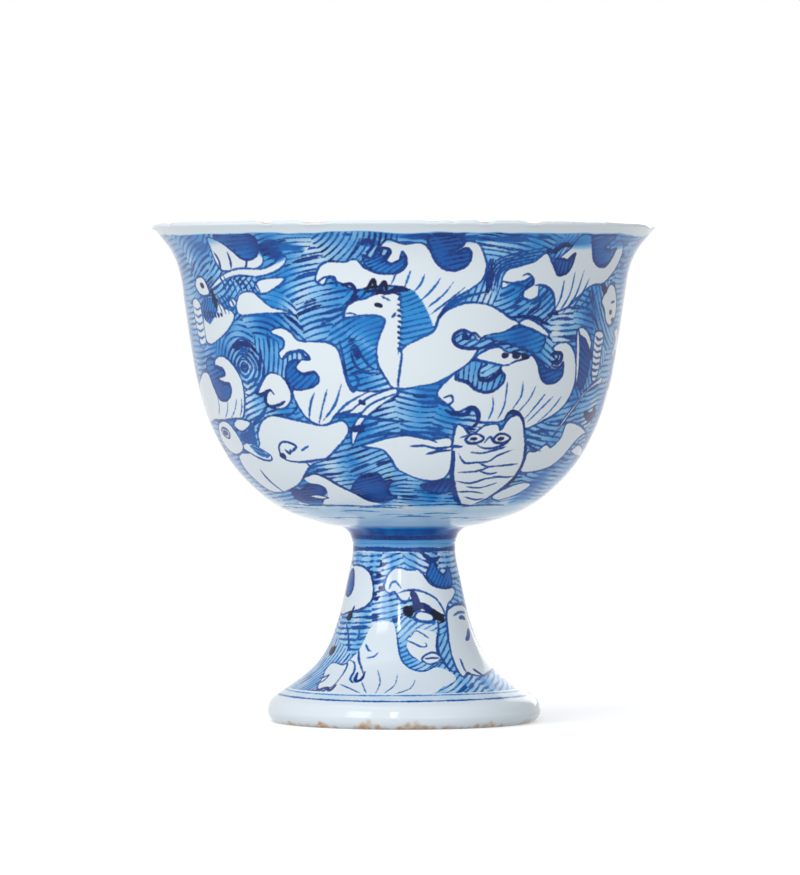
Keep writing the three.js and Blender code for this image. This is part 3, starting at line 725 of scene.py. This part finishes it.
    s.fan([[-38, 8.5, -28, 7.6, -21, 6.8], [-25, 9.2, -21, 7.8, -18.4, 6.8], [-17, 11.2, -13.4, 9,
        -14, 6.9], [-4, 10.5, -5, 8.5, -10, 6.9], [6.4, 9.4, 3, 7.8, -5, 6.8]], 0.34, 0.5)


def paint_stem(s):
    """The whole painting of the stem, with plain borders and blue lines above and below it."""
    paint_sea(s, STEM_SEA)
    s.wash *= 0.62
    s.deep -= 0.12
    for turn in SIDES:
        s.turn = turn
        paint_stem_side(s)
    s.turn = 0
    clear = (s.z < STEM_PICTURE[0]) | (s.z > STEM_PICTURE[1])
    s.line[clear] = NO_LINE
    s.deep[clear] = 0
    s.wash[clear] = 0.03
    for height, width, tone in ((6.55, 0.42, 0.34), (5.55, 0.5, 0.6), (34.5, 0.95, 0.74)):
        wave = [(a, height + 0.07 * math.sin(a * 0.05 + height)) for a in range(-180, 180, 12)]
        s.stroke(wave + [(180, wave[0][1])], width, tone, 0)
    s.wash[s.z > STEM_TOP_WASH] = 0.36
    s.wash[(s.z > FOOT_LINES[0]) & (s.z < FOOT_LINES[1])] = 0.1


def turned(name, profile, columns, fields):
    """A closed turned mesh with float values on its vertices."""
    rows = len(profile)
    around = np.radians(np.arange(columns) * 360 / columns - 180)
    r, z = profile[:, 0][:, None], profile[:, 1][:, None]
    lower = fields.get("lower", 0)
    points = np.stack([r * np.sin(around), -r * np.cos(around), z - lower + 0 * around], axis=-1)
    i, j = np.meshgrid(np.arange(rows - 1), np.arange(columns), indexing="ij")
    k = (j + 1) % columns
    quads = np.stack([i * columns + j, i * columns + k, (i + 1) * columns + k, (i + 1) * columns + j],
                     axis=-1).reshape(-1, 4)
    mesh = bpy.data.meshes.new(name)
    mesh.vertices.add(rows * columns)
    mesh.vertices.foreach_set("co", (points.reshape(-1, 3) * MM).ravel())
    mesh.loops.add(quads.size)
    mesh.loops.foreach_set("vertex_index", quads.ravel())
    mesh.polygons.add(len(quads))
    mesh.polygons.foreach_set("loop_start", np.arange(0, quads.size, 4))
    mesh.polygons.foreach_set("use_smooth", np.ones(len(quads), bool))
    mesh.update(calc_edges=True)
    for key in ("line", "deep", "wash", "rust"):
        layer = mesh.attributes.new(key, "FLOAT", "POINT")
        layer.data.foreach_set("value", fields[key].astype(np.float32).ravel())
    mesh.validate()
    piece = bpy.data.objects.new(name, mesh)
    bpy.context.scene.collection.objects.link(piece)
    return piece


def straight(places, step):
    """Points along straight runs between the given places, corners kept."""
    out = []
    for a, b in zip(places, places[1:]):
        n = max(1, int(math.hypot(b[0] - a[0], b[1] - a[1]) / step))
        out += [(a[0] + (b[0] - a[0]) * k / n, a[1] + (b[1] - a[1]) * k / n) for k in range(n)]
    return np.array(out + [places[-1]])


def padded(painting, before, after):
    """The painted fields, with unpainted rows added below and above them."""
    fields = {}
    for key, empty in (("line", NO_LINE), ("deep", 0.0), ("wash", 0.0)):
        below, above = (np.full((rows, painting.columns), empty) for rows in (before, after))
        fields[key] = np.concatenate([below, getattr(painting, key), above])
    return fields


def build_bowl():
    """The bowl with its painting and the small chips that show brown in its lip."""
    outside = spaced(through(BOWL_OUTSIDE, steps=30), BOWL_ROW_STEP)
    lip = spaced(through(BOWL_LIP, steps=8), 0.16)[1:]
    inside = spaced(through(BOWL_INSIDE, steps=20), 1.0)[1:]
    socket = straight(BOWL_SOCKET, 1.5)[:-1]
    painting = Painting(outside, BOWL_COLUMNS)
    paint_bowl(painting)
    profile = np.concatenate([socket, outside, lip, inside])
    fields = padded(painting, len(socket), len(lip) + len(inside))
    around = painting.x[0]
    chips = np.zeros(BOWL_COLUMNS)
    for _ in range(LIP_CHIPS):
        at = RNG.uniform(-180, 180)
        wide, deep = RNG.uniform(0.5, 2.2), RNG.uniform(0.05, 0.45)
        off = (painting.angle - at + 180) % 360 - 180
        chips = np.maximum(chips, deep * np.exp(-((off / wide) ** 4)))
    chips += 0.07 * (1 + ripple(around, 0 * around, 6, 21))
    near_lip = np.clip((profile[:, 1] - 97.4) / 1.2, 0, 1)[:, None]
    fields["lower"] = near_lip * chips[None, :]
    speck = ripple(around, 0 * around, 1.2, 31) * ripple(around, 0 * around, 7, 32)
    fields["rust"] = near_lip**6 * np.clip(chips[None, :] * 1.6 + speck * 0.7 - 0.25, 0, 1)
    return turned("painted_bowl", profile, BOWL_COLUMNS, fields)


def build_stem():
    """The stem and foot with their painting, the mark underneath and the bare brown edge."""
    outside = spaced(through(STEM_OUTSIDE, steps=30), STEM_ROW_STEP)
    turn = np.linspace(0, math.pi / 2, 14)[:-1]
    roll = np.stack([CONTACT_RADIUS + (FOOT_RADIUS - CONTACT_RADIUS) * np.sin(turn),
                     FOOT_ROLL_HEIGHT * (1 - np.cos(turn))], axis=1)
    recess = spaced(through(STEM_RECESS, steps=16), 0.2)
    top = straight(STEM_TENON, 1.0)[1:]
    painting = Painting(outside, STEM_COLUMNS)
    paint_stem(painting)
    profile = np.concatenate([recess, roll, outside, top])
    fields = padded(painting, len(recess) + len(roll), len(top))
    # The double ring and the small flower under the foot
    r, turn = recess[:, 0][:, None], np.radians(painting.angle)[None, :]
    x, y = r * np.sin(turn), r * np.cos(turn)
    under = np.max([half - np.abs(r - ring) for ring, half in MARK_RINGS], axis=0) + 0 * x
    petal = 3.4 + 1.5 * np.cos(5 * turn)
    under = np.maximum(under, 0.22 - np.abs(r - petal))
    under = np.maximum(under, 0.7 - np.hypot(x, y))
    fields["line"][: len(recess)] = under
    fields["deep"][: len(recess)] = 0.62
    fields["wash"][: len(recess)] = np.where(r < petal, 0.3, 0.0) + 0 * x
    height = profile[:, 1][:, None]
    around = painting.x[0][None, :]
    outer = np.zeros(len(profile))
    outer[len(recess) : len(recess) + len(roll) + 8] = 1
    level = 1.0 + 0.9 * ripple(around, 0 * around, 5, 41) + 0.35 * ripple(around, 0 * around, 1.2, 42)
    patchy = 0.55 + 0.6 * ripple(around, height, 1.6, 43)
    rust = np.clip((level - height) / 0.6, 0, 1) * np.clip(patchy, 0, 1) * outer[:, None]
    ring = np.clip((1.5 - height) / 0.5, 0, 1) * (1 - outer[:, None]) * (profile[:, 0][:, None] > 20)
    fields["rust"] = np.maximum(rust, ring)
    return turned("painted_stem_foot", profile, STEM_COLUMNS, fields)


def build_slip():
    """The slip in the joint, which shows as a pale blue band."""
    profile = straight(SLIP_PROFILE, 0.2)
    shape = (len(profile), STEM_COLUMNS)
    outer = (profile[:, 0] > 10.1)[:, None] + np.zeros(shape)
    fields = {"line": np.full(shape, NO_LINE), "deep": np.zeros(shape), "wash": 0.42 * outer,
              "rust": np.zeros(shape)}
    return turned("slip_band", profile, STEM_COLUMNS, fields)


def srgb(r, g, b):
    """A colour given as screen values 0 to 255, as the shader wants it."""
    def plain(c):
        c /= 255
        return c / 12.92 if c <= 0.04045 else ((c + 0.055) / 1.055) ** 2.4
    return plain(r), plain(g), plain(b), 1


class Nodes:
    """Short ways to add and join shader nodes."""

    def __init__(self, owner, shader="Principled BSDF"):
        owner.use_nodes = True
        self.owner = owner
        self.tree = owner.node_tree
        self.shader = self.tree.nodes[shader]

    def add(self, kind, **values):
        node = self.tree.nodes.new(kind)
        for key, value in values.items():
            setattr(node, key, value)
        return node

    def link(self, a, b):
        self.tree.links.new(a, b)

    def put(self, node, **values):
        """Sets inputs, whose names are given with _ for each space."""
        for key, value in values.items():
            node.inputs[key.replace("_", " ")].default_value = value

    def read(self, name):
        return self.add("ShaderNodeAttribute", attribute_name=name).outputs["Fac"]

    def maths(self, operation, a, b, clamp=False):
        node = self.add("ShaderNodeMath", operation=operation, use_clamp=clamp)
        for slot, value in enumerate((a, b)):
            if isinstance(value, float):
                node.inputs[slot].default_value = value
            else:
                self.link(value, node.inputs[slot])
        return node.outputs[0]

    def noise(self, scale, detail):
        node = self.add("ShaderNodeTexNoise")
        self.put(node, Scale=scale, Detail=detail)
        self.link(self.add("ShaderNodeTexCoord").outputs["Object"], node.inputs["Vector"])
        return node.outputs["Fac"]

    def ramp(self, source, stops):
        node = self.add("ShaderNodeValToRGB")
        while len(node.color_ramp.elements) < len(stops):
            node.color_ramp.elements.new(0.5)
        for element, (at, colour) in zip(node.color_ramp.elements, stops):
            element.position = at
            element.color = colour
        self.link(source, node.inputs["Fac"])
        return node.outputs["Color"]

    def mix(self, factor, a, b):
        node = self.add("ShaderNodeMix", data_type="RGBA")
        for slot, value in ((0, factor), (6, a), (7, b)):
            self.link(value, node.inputs[slot])
        return node.outputs[2]

    def seen(self):
        """One for rays from the camera, reflections and glass, nothing for the light that spreads."""
        rays = self.add("ShaderNodeLightPath").outputs
        shown = self.maths("MAXIMUM", rays["Is Camera Ray"], rays["Is Glossy Ray"])
        return self.maths("MAXIMUM", shown, rays["Is Transmission Ray"])


def glaze():
    """White porcelain under clear glaze: washes by depth of blue, then lines, then bare brown clay."""
    n = Nodes(bpy.data.materials.new("painted_glaze"))
    fine, broad = n.noise(1500, 3), n.noise(170, 2)
    wobble = n.maths("MULTIPLY", n.maths("SUBTRACT", fine, 0.5), 0.34)
    line = n.maths("ADD", n.read("line"), wobble)
    cover = n.add("ShaderNodeMapRange", interpolation_type="SMOOTHSTEP")
    n.link(line, cover.inputs["Value"])
    n.put(cover, From_Min=-0.13, From_Max=0.13)
    wash = n.maths("ADD", n.read("wash"), n.maths("MULTIPLY", n.maths("SUBTRACT", broad, 0.5), 0.16))
    ground = n.ramp(wash, [
        (0.05, srgb(216, 226, 233)), (0.24, srgb(138, 192, 228)), (0.5, srgb(46, 140, 208)),
        (0.72, srgb(12, 100, 180)), (1.0, srgb(0, 44, 128)),
    ])
    blend = n.maths("ADD", n.maths("MULTIPLY", broad, 0.2), n.maths("MULTIPLY", fine, 0.24))
    tone = n.maths("ADD", n.read("deep"), n.maths("SUBTRACT", blend, 0.22))
    ink = n.ramp(tone, [
        (0.2, srgb(92, 160, 214)), (0.45, srgb(0, 106, 182)), (0.7, srgb(0, 74, 152)),
        (0.88, srgb(0, 36, 112)), (1.0, srgb(2, 8, 40)),
    ])
    painted = n.mix(cover.outputs["Result"], ground, ink)
    rust = n.maths("MULTIPLY", n.read("rust"), n.maths("ADD", fine, 0.4), clamp=True)
    brown = n.ramp(fine, [(0.3, srgb(136, 92, 52)), (0.5, srgb(196, 152, 104)), (0.7, srgb(222, 202, 176))])
    n.link(n.mix(rust, painted, brown), n.shader.inputs["Base Color"])
    n.put(n.shader, Roughness=0.09, IOR=1.5, Specular_IOR_Level=0.24)
    bump = n.add("ShaderNodeBump")
    n.put(bump, Strength=0.12, Distance=0.0004)
    n.link(n.noise(90, 1), bump.inputs["Height"])
    n.link(bump.outputs["Normal"], n.shader.inputs["Normal"])
    return n.owner


def unwrap(piece, columns):
    """A map for baked copies: each half of the cup is one sheet, round across and profile upward."""
    mesh = piece.data
    layer = mesh.uv_layers.new(name="OFBake")
    corners = np.zeros(len(mesh.loops), np.int64)
    mesh.loops.foreach_get("vertex_index", corners)
    row, column = corners // columns, corners % columns
    half = columns // 2
    sheet = np.repeat(column.reshape(-1, 4)[:, 0] // half, 4)
    across = (column - sheet * half) % columns / half
    u = 0.01 + 0.98 * across
    v = 0.005 + 0.49 * row / row.max() + 0.5 * sheet
    layer.data.foreach_set("uv", np.stack([u, v], axis=1).astype(np.float32).ravel())


material = glaze()
for build, columns, node, slot in (
    (build_bowl, BOWL_COLUMNS, "bowl", "glazed_porcelain"),
    (build_stem, STEM_COLUMNS, "stem_foot", "glazed_porcelain"),
    (build_slip, STEM_COLUMNS, "luting_slip", "slip_joint"),
):
    piece = build()
    piece.data.materials.append(material)
    unwrap(piece, columns)
    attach(piece, "root")
    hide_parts(node)

# The table, white to the camera where no shadow falls on it
FLOOR_RADIUS = 0.34
FLOOR_CORNERS = 64
turns = np.linspace(0, 2 * math.pi, FLOOR_CORNERS, False)
corners = [(FLOOR_RADIUS * math.cos(a), FLOOR_RADIUS * math.sin(a), 0) for a in turns]
floor_mesh = bpy.data.meshes.new("floor")
floor_mesh.from_pydata(corners, [], [tuple(range(FLOOR_CORNERS))])
floor = bpy.data.objects.new("floor", floor_mesh)
bpy.context.scene.collection.objects.link(floor)
table = Nodes(bpy.data.materials.new("white_table"))
table.put(table.shader, Base_Color=(0.8, 0.8, 0.8, 1), Roughness=1.0, Specular_IOR_Level=0.0)
glow = table.add("ShaderNodeEmission")
table.link(table.maths("MULTIPLY", table.seen(), 0.44), glow.inputs["Strength"])
both = table.add("ShaderNodeAddShader")
table.link(table.shader.outputs[0], both.inputs[0])
table.link(glow.outputs[0], both.inputs[1])
table.link(both.outputs[0], table.tree.nodes["Material Output"].inputs["Surface"])
floor.data.materials.append(table.owner)

# White surroundings to the camera and in reflections, a plain grey light on the object
world = Nodes(bpy.data.worlds.new("surroundings"), "Background")
bpy.context.scene.world = world.owner
level = world.add("ShaderNodeMapRange")
world.put(level, To_Min=0.42, To_Max=1.0)
world.link(world.seen(), level.inputs["Value"])
world.link(level.outputs["Result"], world.shader.inputs["Strength"])
world.put(world.shader, Color=(1, 1, 1, 1))

# Every lamp is aimed at the middle of the cup
MIDDLE = Vector((0, 0, 0.05))


def lamp(name, place, size, power):
    light = bpy.data.lights.new(name, "AREA")
    light.shape = "RECTANGLE"
    light.size, light.size_y = size
    light.energy = power
    item = bpy.data.objects.new(name, light)
    item.location = place
    item.rotation_mode = "QUATERNION"
    item.rotation_quaternion = (MIDDLE - Vector(place)).to_track_quat("-Z", "Y")
    bpy.context.scene.collection.objects.link(item)


lamp("window", (-0.16, -1.0, 0.55), (0.07, 0.2), 2.8)
lamp("left_bank", (-0.8, -0.95, 0.5), (0.45, 0.5), 5.4)
lamp("right_bank", (0.6, -1.15, 0.3), (0.5, 0.6), 1.5)
lamp("behind", (0.3, 1.2, 0.5), (0.8, 0.8), 3.2)
lamp("overhead", (-0.2, -0.1, 1.1), (0.9, 0.9), 3.6)

# The camera stands 1.15 m away, a little below the rim, and looks slightly down
CAMERA_PLACE = Vector((0, -1.15, 0.0768))
CAMERA_AIM = Vector((-0.0008, 0, 0.05646))
camera = bpy.data.objects.new("camera", bpy.data.cameras.new("camera"))
bpy.context.scene.collection.objects.link(camera)
camera.location = CAMERA_PLACE
camera.rotation_mode = "QUATERNION"
camera.rotation_quaternion = (CAMERA_AIM - CAMERA_PLACE).to_track_quat("-Z", "Y")
camera.data.lens = 238.0
camera.data.sensor_width = 36.0
camera.data.clip_end = 100
bpy.context.scene.camera = camera

view = bpy.context.scene.view_settings
view.view_transform = "Standard"
